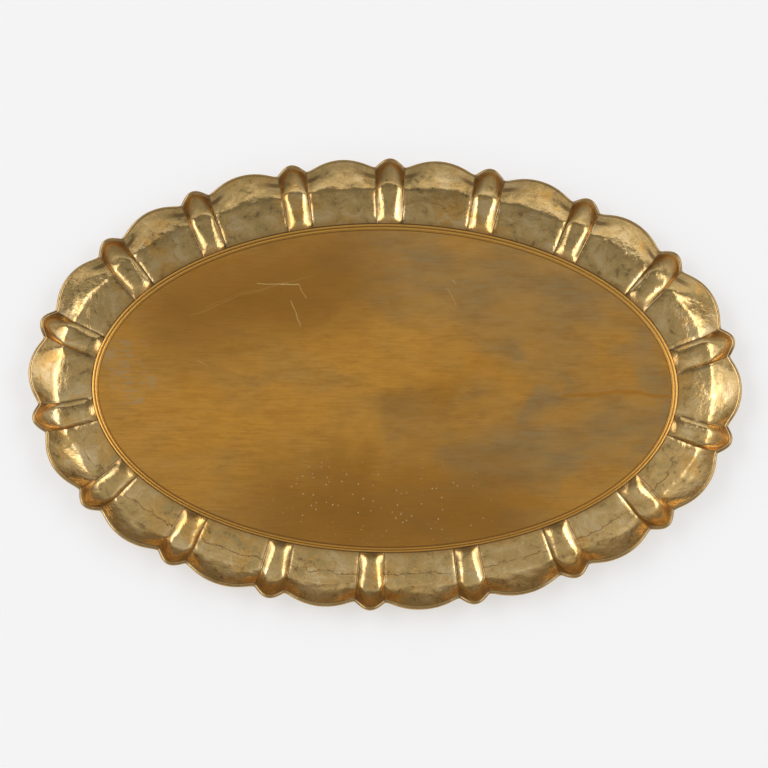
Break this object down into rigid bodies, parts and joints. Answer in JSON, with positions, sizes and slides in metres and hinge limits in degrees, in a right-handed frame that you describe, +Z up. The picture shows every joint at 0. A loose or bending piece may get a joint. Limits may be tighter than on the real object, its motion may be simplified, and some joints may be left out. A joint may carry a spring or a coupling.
{
  "type": "serving tray",
  "caption": "Oval hammered brass serving tray with a flat well, a reeded step, a sloping border of hollow panels and narrow flutes, and a rolled scalloped rim.",
  "frame": {"origin": "centre of the well's underside, on the plane that the tray rests on", "axes": "+X along the long axis, +Y along the short axis, +Z up out of the well"},
  "size_m": [0.596, 0.3878, 0.0222],
  "materials": {
    "sheet_brass": "hand-hammered and polished pale border, worn golden-brown brushed well, light patina",
    "wire_brass": "plain drawn wire, unpolished"
  },
  "bodies": {
    "root": {"tray_sheet": "sheet_brass", "rim_wire": "wire_brass"}
  },
  "joints": []
}
